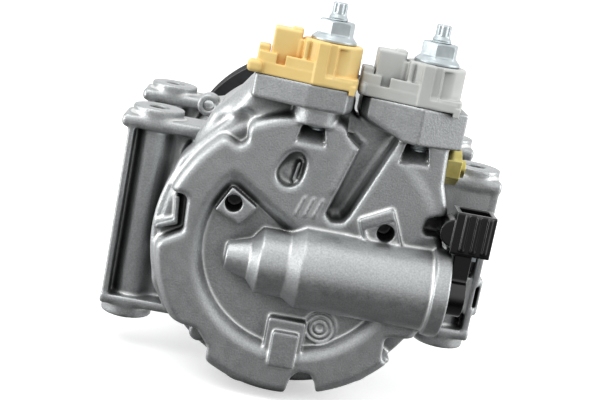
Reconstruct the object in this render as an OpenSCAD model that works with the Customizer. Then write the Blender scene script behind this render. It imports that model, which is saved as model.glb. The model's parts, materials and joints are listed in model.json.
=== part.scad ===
// Variable-displacement swash-plate compressor for a car's air conditioning.
// The shaft lies along Y, with the pulley towards +Y and the rear head towards -Y.
// Z points up, parallel to the mounting bores. The origin is on the shaft axis at
// the middle plane of the belt.

/* [Body] */
// Radius of the round body at the rear head's flange
body_r = 60.6; // [60:0.1:61.5]
// Distance from the belt's middle plane to the rear face
rear_reach = 196; // [195.5:0.1:197]
// Radius of the circle of through bolts
bolt_circle_r = 55.4; // [55.3:0.1:55.6]
// Radius of a through bolt's shank
bolt_r = 3; // [2.8:0.1:3]
// Depth of the crescent-shaped recess in the rear face
crescent_depth = 4; // [2:0.5:5]
// Depth of the pockets between the bolt bosses
pocket_depth = 12; // [8:0.5:12]
// Depth of the slot between the ports
slot_depth = 10; // [6:0.5:11]

/* [Cylinders] */
// Radius of the circle of cylinders
piston_circle_r = 37.5; // [37.3:0.1:37.5]
// Radius of a cylinder bore
bore_r = 13.5; // [13:0.1:13.5]
// Running clearance of a piston in its bore
bore_gap = 0.05; // [0.03:0.01:0.08]
// Radius of the swash plate
plate_r = 46; // [44:0.5:46]
// Thickness of the swash plate
plate_t = 8; // [7.5:0.1:8]
// Radius of a shoe's ball face
shoe_r = 9; // [8.8:0.1:9]

/* [Shaft] */
// Radius of the shaft
shaft_r = 8; // [7.8:0.1:8]
// Radius of the front needle bearing and of the seal
nose_bore_r = 13; // [12.8:0.1:13]
// Radius of the nose that carries the pulley bearing
nose_r = 17.5; // [17.5:0.1:17.6]

/* [Pulley] */
// Radius over the belt ribs
pulley_r = 61; // [60:0.5:62]
// Width of the pulley rim
pulley_w = 26; // [25:0.5:26]
// Number of grooves in the rim
groove_count = 6; // [4:1:6]
// Distance between two grooves
groove_pitch = 3.56; // [3.5:0.01:3.6]

/* [Mounting ears] */
// Distance of the left bores from the shaft axis
left_ear_x = 67.5; // [67:0.5:68]
// Distance of the right bores from the shaft axis
right_ear_x = 69.5; // [69:0.5:70]
// Radius of a mounting bore
ear_hole_r = 4.25; // [4:0.25:4.5]
// Radius of a boss around a mounting bore
ear_boss_r = 11; // [10.5:0.1:11]
// Height of the bosses' top faces
ear_top = 43; // [42:0.5:44]
// Depth of the left bosses' bottom faces
left_ear_bottom = 48.5; // [47:0.5:49]
// Depth of the right bosses' bottom faces
right_ear_bottom = 37; // [36:0.5:38]

/* [Ports] */
// Height of the left port face
left_port_z = 70; // [69.5:0.5:71]
// Height of the right port face
right_port_z = 69; // [68.5:0.5:70]
// Left stud's place across the body
left_stud_x = -2.6; // [-3:0.1:-2]
// Right stud's place across the body
right_stud_x = 38.6; // [38:0.1:39]
// Distance from a stud to its port
port_pitch = 18; // [18:0.1:18.5]
// Radius of a port
port_r = 5; // [4.8:0.1:5]
// Radius of a stud's thread
stud_r = 4; // [3.9:0.1:4]

/* [Control valve] */
// Height of the valve tube's axis
valve_z = -3.2; // [-3.5:0.1:-3]
// Radius of the valve tube
tube_r = 16; // [15.5:0.1:16]
// Travel of the valve's plunger
plunger_travel = 1.5; // [1:0.1:1.5]

/* [Hidden] */
$fn = 48;

// Places along the shaft
rear_y = -rear_reach;
step_y = rear_y + 14;
head_y = rear_y + 30;
plate_y0 = head_y + 0.5;
plate_y1 = plate_y0 + 2.7;
reed_y1 = plate_y1 + 0.4;
block_y = reed_y1 + 0.4;
bore_end_y = block_y + 39;
split_y = block_y + 58;
housing_y = split_y + 0.5;
bolt_seat_y = housing_y + 57.5;
swash_y = rear_y + 88;
lug_y = swash_y + 31;
lug_front_y = lug_y + 14;
thrust_front_y = lug_front_y + 5;
wall_y = -20;
nose_end_y = 8;
crown_y = block_y + 1;

// Angles of the cylinders and of the bolts between them
cyl_count = 7;
cyl_angle = 360 / cyl_count;
first_cyl = -80;
cyl_angles = [for (i = [0 : cyl_count - 1]) first_cyl + i * cyl_angle];
bolt_angles = [for (a = cyl_angles) a + cyl_angle / 2];

// Body shells
lobe_r = 5.8;
shell_r = 58;
cap_r = 57.4;
chamber_r = 51.3;
chamber_front_y = thrust_front_y + 3;

// Chambers of the rear head
discharge_r = 30;
suction_r0 = 33;
suction_r1 = 48;
chamber_depth = 14;
suction_port_r = 42;
discharge_port_r = 27;

// Mounting ears
near_ear_y = block_y + 11;
far_ear_y = -70;
ear_flange_t = 5;

// Threaded pads of the rear face
pad_hole_r = 3.4;
pad_holes = [[-29.5, 17.5], [31.8, 16.8]];
right_pad_h = 3;

// Ports: each stud's place across the body and its port face's height
stud_y = rear_y + 6.5;
ports = [[left_stud_x, left_port_z], [right_stud_x, right_port_z]];
seat_r = port_r + 1.2;
seat_depth = 3;
spigot_r = port_r - 1.1;
spigot_len = 10;
nut_foot = 16.6;
stud_below = 18.5;

// Relief valve
relief_y = stud_y + 7;
relief_z = 45.5;
relief_r = 4.5;

// Valve tube
tube_y = rear_y - 1;
tube_end_x = 59;
can_x = 25;
can_r = 11.8;
land_x = 6;
land_r = 9;
tip_x = -12;
tip_r = 7;
valve_fit = 0.05;
plunger_r = 3;
o_ring_r = 0.98;
o_rings = [[-6, tip_r], [11, land_r], [can_x + 8, can_r]];
pin_places = [62, 68];

// Pulley bearing
nose_groove_y = nose_end_y - 2.6;
ball_rows = [-6, 2];
ball_circle_r = 21.75;
ball_r = 2.2;
race_r = ball_r + 0.15;

// Pulley hub
hub_y0 = 9.5;
hub_y1 = 12.5;
hub_nut_y = 14;

// Destroke spring
spring_r = 10.4;
wire_r = 0.75;
turns = 5;
spring_steps = 80;
wire_sides = 6;
spring_y0 = swash_y + plate_t / 2 + 1;
spring_len = lug_y - spring_y0 - 1;

// Colours
cast_grey = [0.62, 0.63, 0.64];
machined = [0.74, 0.75, 0.76];
steel = [0.55, 0.57, 0.6];
dark_steel = [0.3, 0.31, 0.33];
zinc = [0.68, 0.73, 0.76];
brass = [0.76, 0.68, 0.3];
rubber = [0.08, 0.08, 0.09];
black_plastic = [0.06, 0.06, 0.07];
yellow_plastic = [0.98, 0.83, 0.45];
white_plastic = [0.8, 0.8, 0.77];
gasket_grey = [0.35, 0.38, 0.36];

// Helpers

// Extrudes an outline drawn in (X, Z) between two places along Y.
module slab(y0, y1) {
    translate([0, y1, 0])
        rotate([90, 0, 0])
            linear_extrude(y1 - y0)
                children();
}

// A rod along Y at (x, z).
module rod_y(x, z, r, y0, y1) {
    translate([x, y0, z])
        rotate([-90, 0, 0])
            cylinder(r = r, h = y1 - y0);
}

// A rod along X at (y, z).
module rod_x(y, z, r, x0, x1) {
    translate([x0, y, z])
        rotate([0, 90, 0])
            cylinder(r = r, h = x1 - x0);
}

// A rod along Z at (x, y).
module rod_z(x, y, r, z0, z1) {
    translate([x, y, z0])
        cylinder(r = r, h = z1 - z0);
}

// Turns a profile drawn in (radius, Y) about the shaft axis.
module turned() {
    rotate([-90, 0, 0])
        rotate_extrude($fn = 96)
            children();
}

// A ring about the shaft axis.
module ring_y(r0, r1, y0, y1) {
    turned()
        translate([r0, y0])
            square([r1 - r0, y1 - y0]);
}

// Puts its children at angle a and distance r in the (X, Z) plane.
module at_angle(a, r) {
    rotate([0, -a, 0])
        translate([r, 0, 0])
            children();
}

// A box given by its lowest and highest corners.
module block(p, q) {
    translate(p)
        cube(q - p);
}

// A rectangle with round corners.
module round_rect(p, q, r) {
    translate([p[0] + r, p[1]])
        square([q[0] - p[0] - 2 * r, q[1] - p[1]]);
    translate([p[0], p[1] + r])
        square([q[0] - p[0], q[1] - p[1] - 2 * r]);
    for (x = [p[0] + r, q[0] - r], z = [p[1] + r, q[1] - r])
        translate([x, z])
            circle(r);
}

// Outline of the body: a circle with a lobe at each bolt.
module lobed_outline(r) {
    circle(r, $fn = 96);
    for (a = bolt_angles)
        rotate(a)
            translate([bolt_circle_r - 0.6, 0])
                circle(lobe_r);
}

// Holes for the through bolts.
module bolt_holes(y0, y1, r = bolt_r + 0.1) {
    for (a = bolt_angles)
        at_angle(a, bolt_circle_r)
            rod_y(0, 0, r, y0, y1);
}

// Outline of the sheets between the head and the block.
module sheet_outline() {
    difference() {
        circle(body_r - 0.6, $fn = 96);
        for (a = bolt_angles)
            rotate(a)
                translate([bolt_circle_r, 0])
                    circle(bolt_r + 0.2);
    }
}

// Rear head

// One pocket between two bolt bosses: a notch with round corners, open to the rim.
module pocket_outline() {
    polygon([[51, -4.5], [51, 4.5], [54, 7.5], [62, 9], [62, -9], [54, -7.5]]);
    for (side = [-1, 1])
        translate([52, side * 4])
            circle(3);
    translate([49, -4])
        square([4, 8]);
}

// The crescent left of and below the valve tube, inside a circle.
module crescent_outline() {
    difference() {
        translate([0, 1])
            circle(41, $fn = 96);
        polygon([[-31.5, 27.5], [-4.5, 10], [60, 10], [60, 60], [-60, 60], [-60, 44]]);
        polygon([[0, 12], [60, 12], [60, -20], [0, -20]]);
    }
}

// The long slot between the two ports, widening upwards.
module slot_outline() {
    translate([11.5, 22])
        circle(4.3);
    polygon([[7.3, 23], [15.7, 20.8], [28, 51], [28, 54.5], [12, 54.5], [14.5, 48]]);
}

// The drop-shaped dimple above the middle.
module dimple_outline() {
    translate([-10, 33])
        circle(5.6);
    translate([-8.2, 38.8])
        circle(2.8);
    polygon([[-15, 35.5], [-10.6, 40.3], [-5.5, 39.6], [-4.6, 34.5]]);
}

// Castings that carry the two port faces.
module port_blocks() {
    translate([0, 0, 60])
        linear_extrude(left_port_z - 60)
            polygon([[-30, rear_y + 2], [-18, rear_y - 4], [5, rear_y - 4],
                     [9, rear_y], [9, rear_y + 22], [-30, rear_y + 22]]);
    rod_z(left_stud_x - 1, stud_y, 9.4, 53, 61);
    slab(rear_y + 6, rear_y + 22)
        polygon([[-47, 39], [-30, 60.5], [9, 60.5], [9, 40]]);
    translate([0, 0, 54])
        linear_extrude(right_port_z - 54)
            polygon([[12.5, rear_y + 4], [16, rear_y - 1.5], [37, rear_y - 5],
                     [54, rear_y - 3.5], [54, rear_y + 22], [12.5, rear_y + 22]]);
    slab(rear_y, rear_y + 22)
        polygon([[10, 30], [12, 50], [15, 54.5], [50, 54.5], [50, 36], [56, 20], [30, 20]]);
}

// Outside of the tube that holds the control valve.
module valve_tube() {
    translate([0, tube_y, valve_z])
        rotate([0, 90, 0])
            rotate_extrude()
                polygon([[0, -29], [5, -29], [8, -19], [13, -16], [13, -4],
                         [tube_r, 1], [tube_r, 52], [tube_r + 1.8, 52.6],
                         [tube_r + 1.8, tube_end_x], [0, tube_end_x]]);
}

// Bore of the control valve, with three steps.
module valve_bore() {
    rod_x(tube_y, valve_z, can_r + valve_fit, can_x, tube_end_x + 1);
    rod_x(tube_y, valve_z, land_r + valve_fit, land_x, can_x + 1);
    rod_x(tube_y, valve_z, tip_r + valve_fit, tip_x - 1, land_x + 1);
    rod_x(tube_y, valve_z, can_r + 0.9, tube_end_x - 3.2, tube_end_x - 1.8);
}

// Gas passages from the ports and the holes for the studs.
module port_passages() {
    for (p = ports) {
        rod_z(p[0] - port_pitch, stud_y, port_r, p[1] - spigot_len - 0.5, p[1] + 1);
        rod_z(p[0] - port_pitch, stud_y, seat_r, p[1] - seat_depth, p[1] + 1);
        rod_z(p[0], stud_y, stud_r, 45, p[1] + 1);
    }
    translate([left_stud_x - port_pitch, stud_y, 63])
        rotate([-36, 0, 0])
            mirror([0, 0, 1])
                cylinder(r = port_r - 0.4, h = 34);
    translate([right_stud_x - port_pitch, stud_y, 63])
        rotate([-19, -6, 0])
            mirror([0, 0, 1])
                cylinder(r = port_r - 1.2, h = 46);
}

module rear_head() {
    color(cast_grey)
        difference() {
            union() {
                slab(step_y, head_y)
                    lobed_outline(body_r - 0.6);
                slab(rear_y, step_y + 1)
                    circle(cap_r, $fn = 96);
                port_blocks();
                valve_tube();
                slab(rear_y - right_pad_h, rear_y + 1)
                    polygon([[20.5, 20.5], [32.5, 27], [40, 9.5], [26.5, 8]]);
            }
            slab(rear_y - 1, rear_y + pocket_depth)
                for (a = cyl_angles)
                    rotate(a)
                        pocket_outline();
            difference() {
                slab(rear_y - 1, rear_y + crescent_depth)
                    crescent_outline();
                valve_tube();
                slab(rear_y, rear_y + crescent_depth + 1)
                    polygon([[-31, 23.5], [-20.5, 17.5], [-26, 10], [-36, 14]]);
                slab(rear_y, rear_y + crescent_depth + 1)
                    round_rect([-4.5, -41], [6, -29], 1.5);
                translate([14, rear_y + crescent_depth, -28])
                    rotate([90, 0, 0])
                        cylinder(r = 6.3, h = 0.5);
            }
            slab(rear_y - 4, rear_y + slot_depth)
                slot_outline();
            slab(rear_y - 1, rear_y + 2.5)
                dimple_outline();
            for (x = [left_stud_x - 1, right_stud_x - 0.5])
                block([x - 5.6, rear_y - 8, 45.5], [x + 5.6, stud_y + 6, 53]);
            for (p = pad_holes)
                rod_y(p[0], p[1], pad_hole_r, rear_y - 4, rear_y + 12);
            turned()
                translate([0, head_y - chamber_depth])
                    square([discharge_r, chamber_depth + 1]);
            turned()
                translate([suction_r0, head_y - chamber_depth])
                    square([suction_r1 - suction_r0, chamber_depth + 1]);
            bolt_holes(head_y - 15, head_y + 1, bolt_r);
            valve_bore();
            port_passages();
            rod_x(relief_y, relief_z, relief_r, 40, 52);
        }
}

// Sheets between the head and the block

module head_gasket() {
    color(gasket_grey)
        slab(head_y, plate_y0)
            difference() {
                sheet_outline();
                difference() {
                    circle(suction_r1, $fn = 96);
                    circle(suction_r0, $fn = 96);
                    for (a = bolt_angles)
                        rotate(a)
                            translate([suction_r0 - 1, -1.5])
                                square([suction_r1 - suction_r0 + 2, 3]);
                }
                circle(discharge_r, $fn = 96);
            }
}

// A star of tongues over the discharge holes.
module star_outline(tongue_w, reach) {
    circle(13);
    for (a = cyl_angles)
        rotate(a) {
            translate([0, -tongue_w / 2])
                square([reach - tongue_w / 2, tongue_w]);
            translate([reach - tongue_w / 2, 0])
                circle(tongue_w / 2);
        }
}

module discharge_reeds() {
    color(steel)
        slab(plate_y0 - 0.3, plate_y0)
            difference() {
                star_outline(7, discharge_r - 0.5);
                circle(3);
            }
}

module reed_retainer() {
    color(dark_steel)
        slab(plate_y0 - 2.8, plate_y0 - 0.3)
            difference() {
                star_outline(8, discharge_r - 0.5);
                circle(3);
            }
}

module retainer_rivet() {
    color(steel)
        turned()
            polygon([[0, plate_y0 - 6], [5, plate_y0 - 6], [5, plate_y0 - 2.8],
                     [2.95, plate_y0 - 2.8], [2.95, plate_y1], [0, plate_y1]]);
}

module valve_plate() {
    color(machined)
        slab(plate_y0, plate_y1)
            difference() {
                sheet_outline();
                circle(3);
                for (a = cyl_angles)
                    rotate(a) {
                        translate([discharge_port_r, 0])
                            circle(2.4);
                        translate([suction_port_r, 0])
                            circle(4);
                    }
            }
}

// A U-shaped cut that frees one suction tongue.
module tongue_cut() {
    translate([suction_port_r, 0])
        difference() {
            union() {
                circle(6);
                translate([-17, -6])
                    square([17, 12]);
            }
            circle(5);
            translate([-18, -5])
                square([18, 10]);
        }
}

module suction_reeds() {
    color(steel)
        slab(plate_y1, reed_y1)
            difference() {
                sheet_outline();
                for (a = cyl_angles)
                    rotate(a) {
                        tongue_cut();
                        translate([discharge_port_r + 2, 0])
                            circle(2.4);
                    }
            }
}

module block_gasket() {
    color(gasket_grey)
        slab(reed_y1, block_y)
            difference() {
                sheet_outline();
                for (a = cyl_angles)
                    rotate(a)
                        translate([piston_circle_r, 0])
                            circle(bore_r);
            }
}

// Castings of the body

// A mounting ear: a tube with a boss at each end, two flanges and a web to the body.
module ear(side, x, y, bottom) {
    rod_z(side * x, y, ear_boss_r, ear_top - 9, ear_top);
    rod_z(side * x, y, ear_boss_r, -bottom, -bottom + 8);
    rod_z(side * x, y, ear_boss_r - 3, -bottom, ear_top);
    for (z = [ear_top - 9, -bottom + 5])
        block([side > 0 ? 35 : -x - 11, y - ear_boss_r, z],
              [side > 0 ? x + 10 : -35, y + ear_boss_r, z + ear_flange_t]);
    block([side > 0 ? 40 : -x - 10, y - 2.5, -bottom + 6],
          [side > 0 ? x + 9 : -40, y + 2.5, ear_top - 6]);
    block([side > 0 ? x + 6.5 : -x - 10, y - ear_boss_r, -bottom + 6],
          [side > 0 ? x + 9 : -x - 7.5, y + ear_boss_r, ear_top - 6]);
}

module ear_hole(side, x, y) {
    rod_z(side * x, y, ear_hole_r, -60, 60);
}

module cylinder_block() {
    color(cast_grey)
        difference() {
            union() {
                slab(block_y, split_y)
                    lobed_outline(shell_r);
                difference() {
                    union() {
                        ear(-1, left_ear_x, near_ear_y, left_ear_bottom);
                        ear(1, right_ear_x, near_ear_y, right_ear_bottom);
                    }
                    rod_y(0, 0, shell_r - 2, -220, 0);
                }
                slab(split_y - 9, split_y)
                    translate([-48.5, 41.5])
                        circle(6);
                rod_x(near_ear_y + 4, -16, 7.5, 70, 81.5);
            }
            for (a = cyl_angles)
                at_angle(a, piston_circle_r)
                    rod_y(0, 0, bore_r, block_y - 1, bore_end_y + 1);
            rod_y(0, 0, chamber_r, bore_end_y, split_y + 1);
            rod_y(0, 0, 12, block_y + 6, bore_end_y + 1);
            rod_y(0, 0, 9, block_y + 2, block_y + 7);
            rod_y(-48.5, 41.5, 2.6, split_y - 10, split_y + 1);
            bolt_holes(block_y - 1, split_y + 1);
            ear_hole(-1, left_ear_x, near_ear_y);
            ear_hole(1, right_ear_x, near_ear_y);
        }
}

module housing_gasket() {
    color(gasket_grey)
        slab(split_y, housing_y)
            difference() {
                lobed_outline(shell_r - 0.3);
                circle(chamber_r, $fn = 96);
                for (a = bolt_angles)
                    rotate(a)
                        translate([bolt_circle_r, 0])
                            circle(bolt_r + 0.1);
            }
}

module front_housing() {
    color(cast_grey)
        difference() {
            union() {
                slab(housing_y, bolt_seat_y)
                    lobed_outline(shell_r);
                turned()
                    polygon([[0, bolt_seat_y - 8], [48.5, bolt_seat_y - 8], [48.5, bolt_seat_y + 4],
                             [40, wall_y - 4], [36, wall_y], [22, wall_y], [nose_r + 2, -10],
                             [nose_r, -10], [nose_r, nose_end_y], [0, nose_end_y]]);
                difference() {
                    union() {
                        ear(-1, left_ear_x, far_ear_y, left_ear_bottom);
                        ear(1, right_ear_x, far_ear_y, right_ear_bottom);
                    }
                    rod_y(0, 0, shell_r - 2, -110, 0);
                }
            }
            turned()
                polygon([[0, housing_y - 1], [chamber_r, housing_y - 1],
                         [chamber_r, chamber_front_y], [32, chamber_front_y],
                         [32, thrust_front_y], [0, thrust_front_y]]);
            rod_y(0, 0, nose_bore_r, thrust_front_y - 1, nose_end_y + 1);
            ring_y(nose_bore_r - 1, nose_bore_r + 1.2, wall_y - 3, wall_y - 1.6);
            ring_y(nose_r - 1, nose_r + 1, nose_groove_y, nose_groove_y + 1.4);
            bolt_holes(housing_y - 1, bolt_seat_y + 1);
            ear_hole(-1, left_ear_x, far_ear_y);
            ear_hole(1, right_ear_x, far_ear_y);
        }
}

module through_bolts() {
    color(zinc)
        for (a = bolt_angles)
            at_angle(a, bolt_circle_r) {
                rod_y(0, 0, bolt_r, head_y - 14, bolt_seat_y + 1);
                rod_y(0, 0, 6.2, bolt_seat_y, bolt_seat_y + 1.2);
                translate([0, bolt_seat_y + 1.2, 0])
                    rotate([-90, 0, 0])
                        cylinder(r = 5.5, h = 5.4, $fn = 6);
            }
}

// Shaft and its bearings

module shaft() {
    color(steel)
        turned()
            polygon([[0, block_y + 7], [shaft_r - 1, block_y + 7], [shaft_r, block_y + 8],
                     [shaft_r, 2], [6, 3], [6, 16], [5.2, 17], [0, 17]]);
}

module rear_needle_bearing() {
    color(steel)
        difference() {
            ring_y(shaft_r + 0.05, 12, block_y + 14, block_y + 30);
            ring_y(shaft_r - 1, 9.6, block_y + 16, block_y + 28);
        }
}

module front_needle_bearing() {
    color(steel)
        difference() {
            ring_y(shaft_r + 0.05, nose_bore_r, thrust_front_y + 2, thrust_front_y + 18);
            ring_y(shaft_r - 1, 10, thrust_front_y + 4, thrust_front_y + 16);
        }
}

module thrust_bearing() {
    color(steel)
        difference() {
            ring_y(14, 30, lug_front_y, thrust_front_y);
            for (i = [0 : 15])
                at_angle(i * 22.5, 22)
                    rod_x(lug_front_y + 2.5, 0, 1.4, -5, 5);
        }
}

module shaft_seal() {
    color(rubber)
        turned()
            polygon([[shaft_r + 0.05, wall_y - 14], [nose_bore_r, wall_y - 14],
                     [nose_bore_r, wall_y - 3.2], [11, wall_y - 3.2], [11, wall_y - 10],
                     [shaft_r + 0.05, wall_y - 12]]);
}

module seal_circlip() {
    color(dark_steel)
        difference() {
            ring_y(11, nose_bore_r + 1, wall_y - 3, wall_y - 1.7);
            block([-3, wall_y - 4, -20], [3, wall_y, -9]);
        }
}

module lug_plate() {
    color(dark_steel)
        difference() {
            turned()
                polygon([[shaft_r + 0.02, lug_y], [20, lug_y], [29, lug_y + 5], [44, lug_y + 5],
                         [44, lug_y + 11], [32, lug_front_y], [shaft_r + 0.02, lug_front_y]]);
            for (i = [0 : 5])
                at_angle(i * 60 + 30, 37)
                    rod_y(0, 0, 3, lug_y - 1, lug_front_y + 1);
        }
}

// Swash plate and what rides on it

module swash_plate() {
    color(machined)
        difference() {
            union() {
                rod_y(0, 0, plate_r, swash_y - plate_t / 2, swash_y + plate_t / 2);
                for (x = [-8, 8]) {
                    rod_y(x, 18, 3.3, swash_y, lug_y - 4.6);
                    translate([x, lug_y - 4.6, 18])
                        sphere(3.3);
                }
            }
            slab(swash_y - plate_t, swash_y + plate_t) {
                circle(9);
                translate([0, -3.2])
                    circle(9);
                translate([-9, -3.2])
                    square([18, 3.2]);
            }
        }
}

// Points around a wire's section that follows a helix about the shaft.
spring_points = [
    for (i = [0 : spring_steps], j = [0 : wire_sides - 1])
        let (turn = 360 * turns * i / spring_steps,
             side = 360 * j / wire_sides,
             r = spring_r + wire_r * cos(side))
            [r * cos(turn), spring_y0 + spring_len * i / spring_steps + wire_r * sin(side),
             r * sin(turn)]
];
spring_sides = [
    for (i = [0 : spring_steps - 1], j = [0 : wire_sides - 1])
        let (a = i * wire_sides + j, b = i * wire_sides + (j + 1) % wire_sides)
            [a, a + wire_sides, b + wire_sides, b]
];
spring_ends = [
    [for (j = [0 : wire_sides - 1]) j],
    [for (j = [wire_sides - 1 : -1 : 0]) spring_steps * wire_sides + j]
];

module destroke_spring() {
    color(steel)
        polyhedron(points = spring_points, faces = concat(spring_sides, spring_ends));
}

// Room for the plate between a piston's jaws, at any tilt.
module jaw_gap() {
    slope = 0.31;
    half = plate_t / 2 + 0.6;
    intersection() {
        translate([piston_circle_r, swash_y, 0])
            rotate([-90, 0, 0])
                rotate_extrude()
                    polygon([[0, -half], [18, -half - 18 * slope],
                             [18, half + 18 * slope], [0, half]]);
        block([0, swash_y - 20, -30], [plate_r + 1.3, swash_y + 20, 30]);
    }
}

module piston(i) {
    color(machined)
        at_angle(cyl_angles[i - 1], 0)
            difference() {
                union() {
                    rod_y(piston_circle_r, 0, bore_r - bore_gap, crown_y, crown_y + 28);
                    rod_y(piston_circle_r, 0, 9, crown_y + 27, swash_y - 9);
                    intersection() {
                        block([28.5, swash_y - 14, -9], [52, swash_y + 12.8, 9]);
                        rod_y(0, 0, chamber_r - 0.6, swash_y - 20, swash_y + 20);
                    }
                }
                jaw_gap();
                translate([piston_circle_r, swash_y, 0])
                    sphere(shoe_r + 0.3);
            }
}

module shoe_pair(i) {
    color(brass)
        at_angle(cyl_angles[i - 1], piston_circle_r)
            translate([0, swash_y, 0])
                difference() {
                    sphere(shoe_r);
                    cube([30, plate_t + 0.6, 30], center = true);
                }
}

// Pulley and its drive

// One groove of the rim, as a V that opens outwards.
module groove(y) {
    translate([pulley_r, y])
        polygon([[-3.2, -0.3], [0.2, -1.45], [0.2, 1.45], [-3.2, 0.3]]);
}

module pulley() {
    color(dark_steel)
        turned()
            difference() {
                union() {
                    translate([51, -pulley_w / 2])
                        square([pulley_r - 51, pulley_w]);
                    translate([30, -4])
                        square([22, 6]);
                    translate([26, -10])
                        square([5, 19]);
                }
                for (i = [0 : groove_count - 1])
                    groove((i - (groove_count - 1) / 2) * groove_pitch);
            }
}

module bearing_inner_ring() {
    color(steel)
        turned()
            difference() {
                translate([nose_r + 0.02, -9.5])
                    square([2.78, 14.8]);
                for (y = ball_rows)
                    translate([ball_circle_r, y])
                        circle(race_r);
            }
}

module bearing_outer_ring() {
    color(steel)
        turned()
            difference() {
                translate([23.2, -9.5])
                    square([2.8, 17.5]);
                for (y = ball_rows)
                    translate([ball_circle_r, y])
                        circle(race_r);
            }
}

module bearing_balls() {
    color(zinc)
        for (y = ball_rows) {
            for (i = [0 : 13])
                at_angle(i * 360 / 14, ball_circle_r)
                    translate([0, y, 0])
                        sphere(ball_r, $fn = 24);
            ring_y(ball_circle_r - 0.35, ball_circle_r + 0.35, y - 0.6, y + 0.6);
        }
}

module bearing_circlip() {
    color(dark_steel)
        difference() {
            ring_y(nose_r - 0.9, nose_r + 1.9, nose_groove_y + 0.1, nose_groove_y + 1.3);
            block([-2.5, 0, -22], [2.5, 10, -15]);
        }
}

module pulley_hub() {
    color(dark_steel)
        difference() {
            turned()
                polygon([[shaft_r + 0.02, -10], [11.6, -10], [11.6, hub_y0], [44, hub_y0],
                         [44, hub_y1], [15, hub_y1], [13, hub_nut_y], [6.05, hub_nut_y],
                         [6.05, 3.05], [shaft_r + 0.02, 2.02]]);
            for (i = [0 : 5])
                at_angle(i * 60, 30)
                    rod_y(0, 0, 4.5, 8, 14);
        }
}

module hub_dampers() {
    color(rubber)
        for (i = [0 : 5])
            at_angle(i * 60 + 30, 39)
                rod_y(0, 0, 5, 2, hub_y0);
}

module hub_nut() {
    color(zinc)
        difference() {
            translate([0, hub_nut_y, 0])
                rotate([-90, 0, 0])
                    cylinder(r = 10.4, h = 2.9, $fn = 6);
            rod_y(0, 0, 6.02, 13, 18);
        }
}

// Control valve

// A square groove for an O-ring, around the valve's axis at x.
module o_ring_groove(x, r) {
    translate([x, tube_y, valve_z])
        rotate([0, 90, 0])
            rotate_extrude()
                translate([r - 2 * o_ring_r - 0.04, -o_ring_r - 0.2])
                    square([2 * o_ring_r + 1, 2 * o_ring_r + 0.4]);
}

module control_valve() {
    color(brass)
        difference() {
            union() {
                rod_x(tube_y, valve_z, tip_r, tip_x, land_x);
                rod_x(tube_y, valve_z, land_r, land_x, can_x);
            }
            for (i = [0, 1])
                o_ring_groove(o_rings[i][0], o_rings[i][1]);
            rod_x(tube_y, valve_z, plunger_r + 0.1, 2, can_x + 1);
            rod_x(tube_y, valve_z, 1.5, tip_x - 1, 3);
            for (a = [0, 90])
                translate([18, tube_y, valve_z])
                    rotate([a, 0, 0])
                        cylinder(r = 1.6, h = 30, center = true);
        }
}

module valve_solenoid() {
    color(steel)
        difference() {
            rod_x(tube_y, valve_z, can_r, can_x, tube_end_x - 3.2);
            rod_x(tube_y, valve_z, plunger_r + 0.1, can_x - 1, can_x + 14);
            o_ring_groove(o_rings[2][0], o_rings[2][1]);
        }
}

module valve_o_rings() {
    color(rubber)
        for (p = o_rings)
            translate([p[0], tube_y, valve_z])
                rotate([0, 90, 0])
                    rotate_extrude()
                        translate([p[1] - o_ring_r, 0])
                            circle(o_ring_r);
}

module valve_snap_ring() {
    color(dark_steel)
        difference() {
            rod_x(tube_y, valve_z, can_r + 0.8, tube_end_x - 3.1, tube_end_x - 1.9);
            rod_x(tube_y, valve_z, can_r - 2, tube_end_x - 4, tube_end_x);
            block([tube_end_x - 4, tube_y - 2, valve_z - 20],
                  [tube_end_x, tube_y + 2, valve_z - 5]);
        }
}

module valve_end_cap() {
    color(black_plastic)
        difference() {
            union() {
                rod_x(tube_y, valve_z, can_r - 2.3, tube_end_x - 3.2, tube_end_x + 1);
                rod_x(tube_y, valve_z, 8.2, tube_end_x + 1, tube_end_x + 8);
                block([60, tube_y - 4, valve_z], [67, tube_y + 4, 16]);
                block([57, tube_y - 7, 15], [73, tube_y + 7, 32]);
                rod_y(57.5, 23, 5.6, tube_y - 6, tube_y + 6);
                for (x = [60.5, 65, 69.5])
                    block([x, tube_y - 8, 17], [x + 1.6, tube_y + 8, 31.5]);
            }
            block([59, tube_y - 5, 19], [71, tube_y + 5, 33]);
            for (x = pin_places)
                block([x - 1.2, tube_y - 0.4, 12], [x + 1.2, tube_y + 0.4, 20]);
        }
}

module connector_pins() {
    color(zinc)
        for (x = pin_places)
            block([x - 1.2, tube_y - 0.4, 12], [x + 1.2, tube_y + 0.4, 26]);
}

module valve_plunger() {
    color(steel)
        rod_x(tube_y, valve_z, plunger_r, 5, can_x + 14 - plunger_travel - 0.5);
}

// Relief valve

module relief_valve() {
    color(brass)
        difference() {
            union() {
                rod_x(relief_y, relief_z, relief_r, 41, 52);
                translate([51.2, relief_y, relief_z])
                    rotate([0, 90, 0])
                        cylinder(r = 7.3, h = 6, $fn = 6);
                rod_x(relief_y, relief_z, 3.6, 57, 59.4);
            }
            rod_x(relief_y, relief_z, 1.8, 40, 60);
        }
}

module relief_seal() {
    color(rubber)
        difference() {
            rod_x(relief_y, relief_z, 6, 50, 51.2);
            rod_x(relief_y, relief_z, relief_r, 49, 52);
        }
}

// Caps, studs and nuts of the ports

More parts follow.
